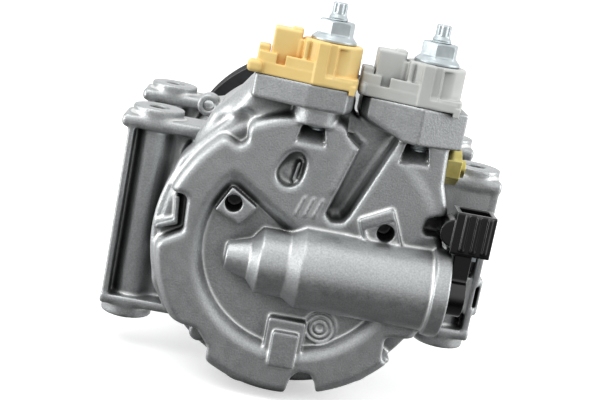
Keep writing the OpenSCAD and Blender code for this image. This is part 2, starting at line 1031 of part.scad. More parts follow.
// A transport cap, drawn with its stud at the origin and its foot at height 0.
module port_cap(tab_len) {
    difference() {
        union() {
            linear_extrude(7.6)
                polygon([[-28, -4.5], [-4.4, -11.6], [9, -11.5], [12, -9],
                         [12, 10], [9, 12], [-28, 12]]);
            block([-28 - tab_len, -6, 0], [-27, 2, 5]);
            block([-28, -4, 7], [-23.6, 6, 11]);
            block([-23.2, -4.6, 7], [-12.4, 9, 18.5]);
            translate([0, 0, 7])
                linear_extrude(9.6)
                    round_rect([-8.5, -10.5], [12, 11.5], 3.5);
            block([-13, -3, 7], [-8, 3, 15]);
            rod_z(-port_pitch, 0, seat_r - 0.1, 0.1 - seat_depth, 1);
            rod_z(-port_pitch, 0, spigot_r, -spigot_len, 0);
        }
        rod_z(0, 0, stud_r + 0.2, -1, 20);
        block([-8.8, -12, 8.6], [-5.8, -8, 17]);
        block([-1.2, -12, 3.6], [1.6, -11.1, 17]);
        block([2.2, -12, 3.6], [9.2, -10.3, 15]);
        block([-20, -4, 10], [-15, 6, 19]);
        rod_z(-port_pitch, 0, 2.6, -11, 4);
        translate([-port_pitch, 0, -6])
            rotate_extrude()
                translate([spigot_r, 0])
                    circle(0.9);
    }
}

module left_port_cap() {
    color(yellow_plastic)
        translate([left_stud_x, stud_y, left_port_z])
            port_cap(3.5);
}

module right_port_cap() {
    color(white_plastic)
        translate([right_stud_x, stud_y, right_port_z])
            port_cap(0.5);
}

module cap_seals() {
    color(rubber)
        for (p = ports)
            translate([p[0] - port_pitch, stud_y, p[1] - 6])
                rotate_extrude()
                    translate([spigot_r + 0.15, 0])
                        circle(0.75);
}

module port_studs() {
    color(zinc)
        for (p = ports)
            difference() {
                translate([p[0], stud_y, p[1] - stud_below])
                    rotate_extrude()
                        polygon([[0, 0], [3, 0], [stud_r - 0.02, 1.5], [stud_r - 0.02, 43.6],
                                 [3.1, 45.4], [3.1, 50.1], [2.6, 50.5], [0, 50.5]]);
                for (i = [0 : 5])
                    translate([p[0], stud_y, p[1] + 27])
                        rotate(i * 60)
                            translate([3.5, 0, 0])
                                cylinder(r = 0.9, h = 6, $fn = 16);
            }
}

module port_nuts() {
    color(zinc)
        for (p = ports)
            translate([p[0], stud_y, p[1] + nut_foot])
                difference() {
                    union() {
                        rotate_extrude()
                            polygon([[0, 0], [8.9, 0], [8.9, 1], [7, 3], [0, 3]]);
                        cylinder(r = 7.4, h = 8.4, $fn = 6);
                    }
                    translate([0, 0, -1])
                        cylinder(r = stud_r, h = 12);
                }
}

rear_head();
head_gasket();
reed_retainer();
retainer_rivet();
discharge_reeds();
valve_plate();
suction_reeds();
block_gasket();
cylinder_block();
housing_gasket();
front_housing();
through_bolts();
rear_needle_bearing();
shaft();
lug_plate();
thrust_bearing();
front_needle_bearing();
shaft_seal();
seal_circlip();
swash_plate();
destroke_spring();
piston(1);  // piston_1
piston(2);  // piston_2
piston(3);  // piston_3
piston(4);  // piston_4
piston(5);  // piston_5
piston(6);  // piston_6
piston(7);  // piston_7
shoe_pair(1);  // shoes_1
shoe_pair(2);  // shoes_2
shoe_pair(3);  // shoes_3
shoe_pair(4);  // shoes_4
shoe_pair(5);  // shoes_5
shoe_pair(6);  // shoes_6
shoe_pair(7);  // shoes_7
pulley();
bearing_inner_ring();
bearing_outer_ring();
bearing_balls();
bearing_circlip();
pulley_hub();
hub_dampers();
hub_nut();
control_valve();
valve_solenoid();
valve_end_cap();
connector_pins();
valve_o_rings();
valve_snap_ring();
valve_plunger();
relief_valve();
relief_seal();
left_port_cap();
right_port_cap();
cap_seals();
port_studs();
port_nuts();
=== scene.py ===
"""The compressor's looks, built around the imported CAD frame.

The castings, and the ports' caps, nuts and studs, are solid distance fields: sums and cuts of simple
shapes with round edges and fillets, turned into meshes. Everything else is the CAD node itself with
a procedural material, and a few of these have their edges rounded. Lengths in the fields are
millimetres, and Blender's are metres.
"""

import json
import math

import bpy
import numpy as np
import openvdb
from mathutils import Matrix, Vector

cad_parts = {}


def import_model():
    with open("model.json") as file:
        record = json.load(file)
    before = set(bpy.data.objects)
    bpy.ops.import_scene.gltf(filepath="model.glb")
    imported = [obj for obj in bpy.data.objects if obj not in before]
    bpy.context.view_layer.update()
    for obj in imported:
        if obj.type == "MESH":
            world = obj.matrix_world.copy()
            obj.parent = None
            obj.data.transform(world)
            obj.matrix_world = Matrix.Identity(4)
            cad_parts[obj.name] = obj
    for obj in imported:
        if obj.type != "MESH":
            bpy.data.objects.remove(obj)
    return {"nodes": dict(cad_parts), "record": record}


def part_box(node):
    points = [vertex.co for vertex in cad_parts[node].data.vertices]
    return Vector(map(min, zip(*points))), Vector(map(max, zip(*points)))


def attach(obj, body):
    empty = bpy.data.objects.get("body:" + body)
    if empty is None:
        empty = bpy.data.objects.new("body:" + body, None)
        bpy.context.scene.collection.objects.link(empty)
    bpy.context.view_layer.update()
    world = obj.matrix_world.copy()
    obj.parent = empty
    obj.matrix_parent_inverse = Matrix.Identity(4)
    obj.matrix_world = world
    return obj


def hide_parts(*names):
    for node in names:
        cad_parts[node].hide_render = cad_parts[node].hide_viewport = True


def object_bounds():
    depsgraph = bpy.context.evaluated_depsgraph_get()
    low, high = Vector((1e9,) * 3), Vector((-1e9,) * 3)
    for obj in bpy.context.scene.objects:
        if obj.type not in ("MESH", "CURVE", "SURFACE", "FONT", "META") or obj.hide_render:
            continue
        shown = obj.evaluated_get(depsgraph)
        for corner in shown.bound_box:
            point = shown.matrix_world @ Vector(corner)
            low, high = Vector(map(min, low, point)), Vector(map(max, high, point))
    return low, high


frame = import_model()
cad_low, cad_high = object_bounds()
MM = 0.001


# Places, from the frame and in millimetres


def node_box(name):
    """Lowest and highest corner of a CAD node, in millimetres."""
    low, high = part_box(name)
    return [v / MM for v in low], [v / MM for v in high]


HEAD = node_box("rear_head")[1][1]
REAR = HEAD - 30
BLOCK = node_box("cylinder_block")[0][1]
SPLIT = node_box("cylinder_block")[1][1]
FRONT = node_box("front_housing")[0][1]
SEAT = FRONT + 57.5
NOSE_END = node_box("front_housing")[1][1]
STUD_Y = REAR + 6.5
TUBE_Y, TUBE_Z = REAR - 1, -3.2
BOLT_REACH = 54.8
BOLT_ANGLES = [math.radians(-80 + 360 / 7 * (i + 0.5)) for i in range(7)]
SHELL_R, CAVITY_R = 58, 51

LEFT, RIGHT = -1, 1
EAR_X = {LEFT: 67.5, RIGHT: 69.5}
EAR_BOTTOM = {LEFT: -48.5, RIGHT: -37}
EAR_TOP = 43
EAR_NEAR_Y, EAR_FAR_Y = BLOCK + 11, -70
EAR_BORE_R = 4.25

CAP_HEIGHT = 18.5
FOOT_Z = [node_box(name)[1][2] - CAP_HEIGHT for name in ("left_port_cap", "right_port_cap")]
STUD_X = -2.6, 38.6
NUT_FOOT, NUT_TOP = 16.6, 25.1
STUD_R, THREAD_PITCH, THREAD_DEPTH = 4, 1.25, 0.22


# Distance fields


class Grid:
    """Sample points in a box, as three arrays that broadcast together."""

    def __init__(self, low, high, step):
        self.low, self.step = np.array(low, float), step
        axes = [np.arange(int((b - a) / step) + 2, dtype=np.float32) * step + a
                for a, b in zip(low, high)]
        self.x = axes[0][:, None, None]
        self.y = axes[1][None, :, None]
        self.z = axes[2][None, None, :]


def disc(u, v, cu, cv, r):
    return np.hypot(u - cu, v - cv) - r


def inset(points, r):
    """Moves each corner of an outline inwards, so that growing it by r gives round corners."""
    p = np.array(points, float)
    area = np.sum(p[:, 0] * np.roll(p[:, 1], -1) - p[:, 1] * np.roll(p[:, 0], -1))
    turn = 1 if area > 0 else -1
    before, after = p - np.roll(p, 1, 0), np.roll(p, -1, 0) - p
    before /= np.linalg.norm(before, axis=1)[:, None]
    after /= np.linalg.norm(after, axis=1)[:, None]
    n1 = turn * np.stack([-before[:, 1], before[:, 0]], 1)
    n2 = turn * np.stack([-after[:, 1], after[:, 0]], 1)
    mid = n1 + n2
    return p + mid * (r / np.maximum(np.sum(mid * n1, 1), 0.3))[:, None]


def outline(u, v, points, r=0.0):
    """Signed distance to a closed outline, with its corners rounded by r."""
    p = inset(points, r) if r else np.array(points, float)
    d = np.full(np.broadcast(u, v).shape, 1e9, np.float32)
    inside = np.zeros(d.shape, bool)
    for a, b in zip(p, np.roll(p, -1, 0)):
        e = b - a
        t = np.clip(((u - a[0]) * e[0] + (v - a[1]) * e[1]) / (e @ e), 0, 1)
        d = np.minimum(d, np.hypot(u - a[0] - t * e[0], v - a[1] - t * e[1]))
        crosses = (a[1] > v) != (b[1] > v)
        side = (u - a[0]) < (v - a[1]) * e[0] / (e[1] if e[1] else 1e-9)
        inside ^= crosses & side
    return np.where(inside, -d, d) - r


def extrude(d, w, w0, w1, r=0.0):
    """A solid from a flat outline's distance d, between w0 and w1, with edges rounded by r."""
    p = d + r
    q = np.abs(w - (w0 + w1) / 2) - abs(w1 - w0) / 2 + r
    return np.minimum(np.maximum(p, q), 0) + np.hypot(np.maximum(p, 0), np.maximum(q, 0)) - r


def join(a, b, k=2.0):
    """Both solids, with a fillet of about k where they meet."""
    h = np.maximum(k - np.abs(a - b), 0) / k
    return np.minimum(a, b) - h * h * k / 4


def cut(a, b, k=1.0):
    """Solid a without b, with its new edges rounded by about k."""
    return -join(-a, b, k)


def place(obj, x, y, z):
    """Moves obj to a place in millimetres."""
    obj.location = (x * MM, y * MM, z * MM)
    bpy.context.view_layer.update()
    return obj


def to_mesh(name, grid, field):
    """The field's zero surface as a smooth mesh object, in metres."""
    band = 3 * grid.step
    volume = openvdb.FloatGrid(background=band)
    volume.copyFromArray(np.ascontiguousarray(np.clip(field, -band, band), np.float32))
    points, quads = volume.convertToQuads(isovalue=0.0)
    points = (points * grid.step + grid.low) * MM
    mesh = bpy.data.meshes.new(name)
    mesh.from_pydata(points.tolist(), [], quads[:, ::-1].tolist())
    mesh.polygons.foreach_set("use_smooth", np.ones(len(quads), bool))
    obj = bpy.data.objects.new(name, mesh)
    bpy.context.scene.collection.objects.link(obj)
    return obj


def rod_x(g, y, z, r, x0, x1, edge=0.5):
    return extrude(disc(g.y, g.z, y, z, r), g.x, x0, x1, edge)


def rod_y(g, x, z, r, y0, y1, edge=0.5):
    return extrude(disc(g.x, g.z, x, z, r), g.y, y0, y1, edge)


def rod_z(g, x, y, r, z0, z1, edge=0.5):
    return extrude(disc(g.x, g.y, x, y, r), g.z, z0, z1, edge)


def slab(g, points, y0, y1, corner=1.0, edge=1.0):
    """An outline in (X, Z) between two places along the shaft."""
    return extrude(outline(g.x, g.z, points, corner), g.y, y0, y1, edge)


def plate(g, points, z0, z1, corner=1.0, edge=1.0):
    """An outline in (X, Y) between two heights."""
    return extrude(outline(g.x, g.y, points, corner), g.z, z0, z1, edge)


def box(g, low, high, edge=1.0):
    half = [(b - a) / 2 for a, b in zip(low, high)]
    mid = [(a + b) / 2 for a, b in zip(low, high)]
    q = [np.abs(w - m) - h + edge for w, m, h in zip((g.x, g.y, g.z), mid, half)]
    outside = np.sqrt(sum(np.maximum(c, 0) ** 2 for c in q))
    return outside + np.minimum(np.maximum(np.maximum(q[0], q[1]), q[2]), 0) - edge


def lobed(g, r, lobe, y0, y1, edge, k=3.0):
    """A round shell with a lobe along each through bolt."""
    d = disc(g.x, g.z, 0, 0, r)
    for a in BOLT_ANGLES:
        d = join(d, disc(g.x, g.z, BOLT_REACH * math.cos(a), BOLT_REACH * math.sin(a), lobe), k)
    return extrude(d, g.y, y0, y1, edge)


# Materials


class Shader:
    """A Principled material whose nodes are added one call at a time."""

    def __init__(self, name, metallic, coat=0.0):
        self.material = bpy.data.materials.new(name)
        self.material.use_nodes = True
        self.tree = self.material.node_tree
        self.main = self.tree.nodes["Principled BSDF"]
        self.main.inputs["Metallic"].default_value = metallic
        self.main.inputs["IOR"].default_value = 1.5
        self.main.inputs["Coat Weight"].default_value = coat
        self.main.inputs["Coat Roughness"].default_value = 0.1
        self.place = self.tree.nodes.new("ShaderNodeTexCoord").outputs["Object"]

    def noise(self, scale, detail=2.0, stretch=None):
        place = self.place
        if stretch:
            mapping = self.tree.nodes.new("ShaderNodeMapping")
            mapping.inputs["Scale"].default_value = stretch
            self.tree.links.new(place, mapping.inputs["Vector"])
            place = mapping.outputs["Vector"]
        node = self.tree.nodes.new("ShaderNodeTexNoise")
        node.inputs["Scale"].default_value = scale
        node.inputs["Detail"].default_value = detail
        self.tree.links.new(place, node.inputs["Vector"])
        return node.outputs["Fac"]

    def ramp(self, value, stops):
        """stops are (position, colour or grey)."""
        node = self.tree.nodes.new("ShaderNodeValToRGB")
        for i, (at, colour) in enumerate(stops):
            spot = node.color_ramp.elements[i] if i < 2 else node.color_ramp.elements.new(at)
            spot.position = at
            colour = (colour,) * 3 if isinstance(colour, (int, float)) else colour
            spot.color = (*colour, 1)
        self.tree.links.new(value, node.inputs["Fac"])
        return node.outputs["Color"]

    def mix(self, factor, a, b):
        node = self.tree.nodes.new("ShaderNodeMix")
        node.data_type = "RGBA"
        for name, value in (("Factor", factor), ("A", a), ("B", b)):
            socket = [s for s in node.inputs if s.name == name and s.enabled][0]
            if isinstance(value, (int, float)):
                socket.default_value = value
            elif isinstance(value, tuple):
                socket.default_value = (*value, 1)
            else:
                self.tree.links.new(value, socket)
        return [s for s in node.outputs if s.enabled][0]

    def painted_hollow_shade(self, distance, dark):
        """Painted shade in narrow hollows: the colour darkens where ambient occlusion finds nearby
        surfaces.
        """
        node = self.tree.nodes.new("ShaderNodeAmbientOcclusion")
        node.samples = 8
        node.inputs["Distance"].default_value = distance
        return self.ramp(node.outputs["AO"], [(0.3, dark), (0.88, 1.0)])

    def times(self, a, b):
        node = self.tree.nodes.new("ShaderNodeMix")
        node.data_type = "RGBA"
        node.blend_type = "MULTIPLY"
        sockets = [i for i in node.inputs if i.enabled]
        sockets[0].default_value = 1.0
        self.tree.links.new(a, sockets[1])
        self.tree.links.new(b, sockets[2])
        return [o for o in node.outputs if o.enabled][0]

    def edges(self, low, high):
        """How convex the surface is: 0 on flats and in corners, 1 on sharp edges."""
        geometry = self.tree.nodes.new("ShaderNodeNewGeometry")
        return self.ramp(geometry.outputs["Pointiness"], [(low, 0.0), (high, 1.0)])

    def colour(self, output):
        self.tree.links.new(output, self.main.inputs["Base Color"])

    def roughness(self, output):
        self.tree.links.new(output, self.main.inputs["Roughness"])

    def bump(self, *layers):
        """layers are (height, strength, distance in metres), coarse first."""
        normal = None
        for height, strength, distance in layers:
            node = self.tree.nodes.new("ShaderNodeBump")
            node.inputs["Strength"].default_value = strength
            node.inputs["Distance"].default_value = distance
            self.tree.links.new(height, node.inputs["Height"])
            if normal:
                self.tree.links.new(normal, node.inputs["Normal"])
            normal = node.outputs["Normal"]
        self.tree.links.new(normal, self.main.inputs["Normal"])


WARM_PAINTED_SHADE = (0.8, 0.55, 0.3)


def cast_aluminium():
    s = Shader("cast_aluminium", metallic=0.85)
    grain = s.noise(1500, 3)
    patches = s.noise(45, 3)
    base = s.ramp(grain, [(0.3, (0.33, 0.345, 0.35)), (0.7, (0.6, 0.615, 0.62))])
    cloudy = s.ramp(patches, [(0.3, (0.42, 0.435, 0.44)), (0.7, (0.53, 0.545, 0.55))])
    skin = s.mix(0.45, base, cloudy)
    # Convex edges are painted lighter: a painted highlight for light catching the fillets.
    painted_edge_highlight = s.edges(0.503, 0.53)
    skin = s.mix(painted_edge_highlight, skin, (0.86, 0.87, 0.87))
    # The colour is darkened in narrow hollows: painted shade.
    s.colour(s.times(skin, s.painted_hollow_shade(0.010, 0.10)))
    s.roughness(s.ramp(s.noise(300, 2), [(0.3, 0.36), (0.7, 0.47)]))
    s.bump((patches, 0.15, 0.0006), (grain, 0.55, 0.00016))
    return s.material


def metal(name, dark, light, rough, grain=900.0, stretch=None, bump=0.25, metallic=1.0):
    """Plain machined or plated metal, with fine marks and uneven gloss."""
    s = Shader(name, metallic=metallic)
    marks = s.noise(grain, 4, stretch)
    s.colour(s.ramp(s.noise(160, 3), [(0.3, dark), (0.7, light)]))
    s.roughness(s.ramp(marks, [(0.25, rough * 0.75), (0.75, rough * 1.3)]))
    s.bump((marks, bump, 0.00008))
    return s.material


def plastic(name, dark, light, rough, bump=0.2, coat=0.0):
    """Moulded plastic or rubber, with a shade in its corners."""
    s = Shader(name, metallic=0.0, coat=coat)
    fine = s.noise(1800, 2)
    tint = s.ramp(s.noise(60, 3), [(0.3, dark), (0.7, light)])
    # Painted shade in corners: warm brown on the yellow plastic, grey on the others.
    shade = WARM_PAINTED_SHADE if dark[0] > 0.7 else 0.45
    s.colour(s.times(tint, s.painted_hollow_shade(0.006, shade)))
    s.roughness(s.ramp(s.noise(420, 3), [(0.3, rough * 0.8), (0.7, rough * 1.25)]))
    s.bump((fine, bump, 0.00006))
    return s.material


MATERIALS = {
    "cast_aluminium": cast_aluminium(),
    "machined_aluminium": metal("machined_aluminium", (0.58, 0.59, 0.6), (0.72, 0.73, 0.74), 0.3),
    "steel": metal("steel", (0.42, 0.43, 0.45), (0.56, 0.57, 0.59), 0.28),
    "dark_steel": metal("dark_steel", (0.1, 0.1, 0.11), (0.17, 0.17, 0.18), 0.42),
    "zinc_plated_steel": metal(
        "zinc_plated_steel", (0.44, 0.49, 0.51), (0.6, 0.66, 0.68), 0.4,
        grain=700, stretch=(1, 1, 0.2), bump=0.3, metallic=0.8,
    ),
    "black_coated_steel": metal(
        "black_coated_steel", (0.018, 0.018, 0.02), (0.035, 0.035, 0.038), 0.42,
        grain=1100, bump=0.3, metallic=0.4,
    ),
    "brass": metal("brass", (0.5, 0.42, 0.12), (0.72, 0.64, 0.26), 0.36, grain=800),
    "rubber": plastic("rubber", (0.012, 0.012, 0.013), (0.03, 0.03, 0.031), 0.7, bump=0.5),
    "gasket": plastic("gasket", (0.06, 0.065, 0.065), (0.11, 0.115, 0.115), 0.75, bump=0.5),
    "black_plastic": plastic(
        "black_plastic", (0.002, 0.002, 0.0025), (0.005, 0.005, 0.0055), 0.16, bump=0.05, coat=0.4
    ),
    "yellow_plastic": plastic("yellow_plastic", (0.84, 0.6, 0.21), (0.92, 0.7, 0.29), 0.42),
    "white_plastic": plastic("white_plastic", (0.5, 0.515, 0.495), (0.6, 0.615, 0.595), 0.38),
}


def paint(obj, slot):
    obj.data.materials.clear()
    obj.data.materials.append(MATERIALS[slot])


def stand_in(obj, node, slot):
    """obj takes the place of one of the housing's CAD nodes, in the material of its slot."""
    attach(obj, "housing")
    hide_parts(node)
    paint(obj, slot)


def round_edges(obj, width):
    """Welds the CAD faces together and rounds the edges between them."""
    weld = obj.modifiers.new("weld", "WELD")
    weld.merge_threshold = 0.00001
    bevel = obj.modifiers.new("bevel", "BEVEL")
    bevel.limit_method = "ANGLE"
    bevel.angle_limit = math.radians(35)
    bevel.width = width * MM
    bevel.segments = 2


def soften(obj, step, passes):
    """Rebuilds a CAD node as a moulded shape, with edges rounded by about a step."""
    remesh = obj.modifiers.new("remesh", "REMESH")
    remesh.mode = "VOXEL"
    remesh.voxel_size = step * MM
    remesh.use_smooth_shade = True
    smooth = obj.modifiers.new("smooth", "SMOOTH")
    smooth.factor = 0.5
    smooth.iterations = passes


# Rear head


def crescent(g):
    """The recess under the straight edge, with sloping walls, as a field to cut away."""
    round_edge = disc(g.x, g.z, 0, 1, 40.4)
    straight = outline(
        g.x, g.z, [(-70, 52), (-31.5, 27.2), (-4.5, 9.6), (60, -12), (60, -80), (-70, -80)]
    )
    flat = -join(-round_edge, -straight, 3)
    return extrude(flat + 0.8 * (g.y - REAR - 2), g.y, REAR - 8, REAR + 4.2)


def port_castings(g):
    """The casting that carries the ports, and the two port blocks."""
    low = slab(g, [(-50, 36), (-44, 50), (-27, 67), (9, 67), (9, 40), (-20, 20)],
               REAR + 14, HEAD - 2, 3, 4)
    high = slab(g, [(-36, 50), (-29.5, 66), (9, 66), (9, 50)], REAR + 8, HEAD - 3, 2, 4)
    carrier = join(low, high, 9)
    left = plate(
        g, [(-30.5, REAR + 2.5), (-9, REAR - 4.8), (6, REAR - 4), (9.3, REAR), (9.3, REAR + 22),
            (-30.5, REAR + 22)], 60.4, 70, 1.5, 0.6)
    blocks = join(left, rod_z(g, -3.8, STUD_Y, 9.4, 53.6, 64, 0.8), 0.6)
    face = slab(g, [(8, 30), (13, 49), (15, 55), (50, 55), (51, 40), (57, 22), (40, 10), (20, 10)],
                REAR, HEAD - 4, 2, 3)
    carrier = join(carrier, face, 2)
    right = plate(
        g, [(12.5, REAR + 5), (15.5, REAR + 1), (36, REAR - 6.4), (54.4, REAR + 0.5),
            (54.4, REAR + 22), (12.5, REAR + 22)], 54, 69, 0.5, 0.6)
    corner = slab(g, [(12.2, 70), (12.2, 61), (18, 55.2), (36, 54), (56, 54), (56, 70)],
                  REAR - 9, REAR + 30, 1.5, 0.5)
    return carrier, join(blocks, -join(-right, -corner, 0.8), 0.5)


def stud_notch(g, x):
    """Room for a stud's end, with a floor that rises to the face below it."""
    sides = slab(g, [(x - 6.6, 45.5), (x + 5.6, 44.5), (x + 3.8, 53.4), (x - 5, 53.4)],
                 REAR - 9, REAR + 10, 0.4, 0.3)
    ramp = 0.7 * (g.y - REAR - 0.85 * (g.z - 45.5))
    return np.maximum(sides, ramp)


def pockets(g, body):
    """Pockets between the bolt bosses, with a ridge and a low boss standing in the left ones."""
    for points, depth, k in (
        ([(-43.5, 46), (-31, 40.3), (-28.6, 43), (-29.6, 54.5)], 9, 3.2),
        ([(-66, 17.5), (-48, 17), (-47.4, 2.5), (-66, -9)], 9, 3.0),
        ([(-49, -34), (-42, -35.5), (-35, -36.5), (-29.5, -43), (-29.5, -66), (-60, -56)], 26, 1.6),
        ([(3.5, -64), (6, -50), (8.5, -47), (13.5, -47), (16, -50.5), (19.5, -62)], 24, 1.2),
        ([(40.5, -26), (41, -35.5), (46, -38.5), (66, -46), (66, -24)], 20, 1.6),
        ([(46, 18.5), (47, 25.5), (64, 30), (64, 20)], 10, 1.5),
    ):
        body = cut(body, slab(g, points, REAR - 9, REAR + depth, 2.5, 1.0), k)
    ridge = slab(
        g, [(-58.6, 2.6), (-52, 5.6), (-53, 15.5), (-50.8, 15.5), (-49.8, 3.6), (-58.6, 0.2)],
        REAR + 5, REAR + 14, 0.6, 0.8)
    body = join(body, ridge, 2.0)
    return join(body, rod_y(g, -34, -40, 4.2, REAR + 8, HEAD, 1.5), 2.0)


def islands(g, body):
    """The crescent recess, with a drilled pad and a double pad left standing in it."""
    body = cut(body, crescent(g), 3.0)
    drilled = slab(g, [(-31, 24), (-20, 17.3), (-26, 9.2), (-36.4, 13.6)],
                   REAR - 0.4, REAR + 6, 0.8, 0.6)
    body = join(body, drilled, 0.8)
    under = slab(g, [(-7.2, -44), (-7.2, -26), (8.2, -26), (8.2, -44)],
                 REAR + 0.6, REAR + 8, 1.5, 1)
    body = join(body, under, 1.2)
    pad = slab(g, [(-4.6, -46), (-4.6, -31), (6, -31), (6, -46)], REAR - 1.6, REAR + 8, 1.2, 0.7)
    return join(body, pad, 0.6)


def hollows(g, body):
    """The long slot, the gap between the port blocks, the dimple and the notches under the studs."""
    slot = slab(
        g,
        [(7.2, 19.5), (10, 17), (14, 17.5), (16.4, 21), (29, 52.5), (29, 54.5), (12.5, 61),
         (9, 61), (6.2, 58.5), (11.4, 51), (15.4, 48)],
        REAR - 8, REAR + 11, 1.8, 3.5)
    body = cut(body, slot, 2.6)
    body = cut(body, box(g, (9.6, REAR - 9, 52), (12.2, REAR + 11, 72), 0.3), 0.8)
    dimple = join(rod_y(g, -10, 32.8, 4.7, REAR - 8, REAR + 5.5, 2),
                  rod_y(g, -8, 38.8, 3.0, REAR - 8, REAR + 5.5, 2), 6)
    body = cut(body, dimple, 2.6)
    fin = slab(g, [(-8.6, 30), (-7.2, 30), (-6.2, 38), (-7.4, 38)], REAR + 3.2, REAR + 8, 0.5, 0.6)
    body = join(body, fin, 2.5)
    for x in (-3.6, 37.8):
        body = cut(body, stud_notch(g, x), 0.6)
    return body


def valve_tube(g, body):
    """The stepped tube of the control valve, open at its right end."""
    radius = np.hypot(g.y - TUBE_Y, g.z - TUBE_Z)
    profile = [(-29, -9), (-29, 5.6), (-19.5, 8.2), (-15.5, 13), (-4.5, 13), (1, 16),
               (52, 16), (53, 17.6), (59, 17.6), (59, -9)]
    body = join(body, outline(g.x, radius, profile, 0.7), 1.6)
    return cut(body, rod_x(g, TUBE_Y, TUBE_Z, 11.9, 30, 62, 0.2), 0.6)


def drilled_pads(g, body):
    """The right pad, standing proud, and the threaded holes of both pads."""
    outer = slab(g, [(20, 20.5), (32.8, 27.3), (40.8, 8.8), (26.3, 6)],
                 REAR - 2.4, REAR + 4, 1.2, 0.9)
    inner = slab(g, [(23.4, 17.2), (34.2, 22.4), (38.6, 11.4), (27.6, 7.4)],
                 REAR - 9, REAR - 1.4, 0.6, 0.3)
    body = join(body, cut(outer, inner, 0.6), 1.4)
    for x, z in ((-29.5, 17.5), (31.8, 16.8)):
        body = cut(body, rod_y(g, x, z, 3.4, REAR - 9, REAR + 12, 0.3), 0.9)
    return body


def casting_marks(g, body):
    """A generic date dial of plain rings, and three plain bars."""
    for r in (2.2, 4.2, 6.3):
        ring = np.hypot(disc(g.x, g.z, 14, -28, r), g.y - REAR - 4.2) - 0.6
        body = join(body, ring, 0.3)
    for x in (-5, -1.5, 2):
        bar = slab(g, [(x, 17.5), (x + 0.9, 17.2), (x + 3.4, 25.2), (x + 2.5, 25.6)],
                   REAR - 0.5, REAR + 1, 0.2, 0.3)
        body = join(body, bar, 0.3)
    return body


def rear_head():
    g = Grid((-64, REAR - 20, -63), (64, HEAD + 1, 73), 0.6)
    body = lobed(g, 60.4, 5.6, REAR + 10, HEAD, 2.2)
    body = join(body, rod_y(g, 0, 0, 57.8, REAR, HEAD - 2, 4.0), 2.0)
    carrier, blocks = port_castings(g)
    body = join(join(body, carrier, 3), blocks, 1.2)
    for feature in (pockets, islands, hollows, valve_tube, drilled_pads, casting_marks):
        body = feature(g, body)
    stand_in(to_mesh("rear_head_casting", g, body), "rear_head", "cast_aluminium")


# Mounting ears, the same on the block and on the front housing


def ear(g, side, y):
    """One ear: bosses, tube, flanges, rib and web, blended together."""
    x, bottom = EAR_X[side], EAR_BOTTOM[side]

    def bar(x0, x1, half, z0, z1, edge, middle=0):
        """A box on the ear's side, half wide along the shaft each way from its middle."""
        ends = sorted((side * x0, side * x1))
        return box(g, (ends[0], y + middle - half, z0), (ends[1], y + middle + half, z1), edge)

    boss = rod_z(g, side * x, y, 10.9, EAR_TOP - 9, EAR_TOP, 0.7)
    foot = rod_z(g, side * x, y, 10.9, bottom, bottom + 9, 0.7)
    tube = rod_z(g, side * x, y, 7.4, bottom + 2, EAR_TOP - 2, 1)
    reach = 14 if side == LEFT else 11.5
    upper = bar(36, x + reach, 10.8, EAR_TOP - 9.4, EAR_TOP - 3.6, 2.2)
    lower = bar(36, x + 11, 10.8, bottom + 5, bottom + 9.2, 1.0)
    web = bar(40, x + 10, 2.5, bottom + 6, EAR_TOP - 6, 1, middle=1)
    rib = bar(x + 8, x + 10.8, 10.6, bottom + 6, EAR_TOP - 5, 0.9)
    d = join(join(web, tube, 3.5), rib, 1.5)
    d = join(join(d, upper, 1.2), lower, 1.2)
    d = join(join(d, boss, 0.8), foot, 0.8)
    return d


def ear_holes(g, body, y):
    for side in (LEFT, RIGHT):
        body = cut(body, rod_z(g, side * EAR_X[side], y, EAR_BORE_R, -70, 70, 0), 0.8)
    return body


def cylinder_block():
    g = Grid((-84, BLOCK - 1, -63), (84, SPLIT + 1, 65), 0.8)
    near = EAR_NEAR_Y
    body = lobed(g, SHELL_R, 5.8, BLOCK, SPLIT, 0.8)
    flange = lobed(g, 58.6, 6.0, SPLIT - 9, SPLIT, 1.2)
    body = join(body, flange, 2)
    muffler = slab(g, [(-46, 34), (-42, 46), (-24, 62.5), (6, 62.5), (12, 40)],
                   BLOCK, SPLIT, 5, 1.5)
    body = join(body, muffler, 3)
    body = join(body, ear(g, LEFT, near), 4)
    right_ear = ear(g, RIGHT, near)
    cheek = slab(g, [(46, 12), (50, 39), (74, 39), (79.5, 34), (79.5, 12)],
                 near - 10.4, near + 10, 1.5, 1)
    tab = box(g, (74, near - 9, -20.5), (82.4, near + 6, -4), 1)
    right_ear = join(join(right_ear, cheek, 1.2), tab, 1.2)
    right_ear = cut(right_ear, box(g, (79.4, near - 20, -17), (80.9, near - 5, -7.5), 0.3), 0.4)
    body = join(body, right_ear, 4)
    body = join(body, rod_y(g, -48.5, 41.5, 5.2, SPLIT - 9, SPLIT, 0.8), 2)
    body = cut(body, rod_y(g, 0, 0, CAVITY_R, BLOCK + 10, SPLIT + 5, 0), 0.3)
    body = cut(body, rod_y(g, -48.5, 41.5, 2.4, SPLIT - 20, SPLIT + 9, 0), 0.6)
    body = ear_holes(g, body, near)
    stand_in(to_mesh("cylinder_block_casting", g, body), "cylinder_block", "cast_aluminium")


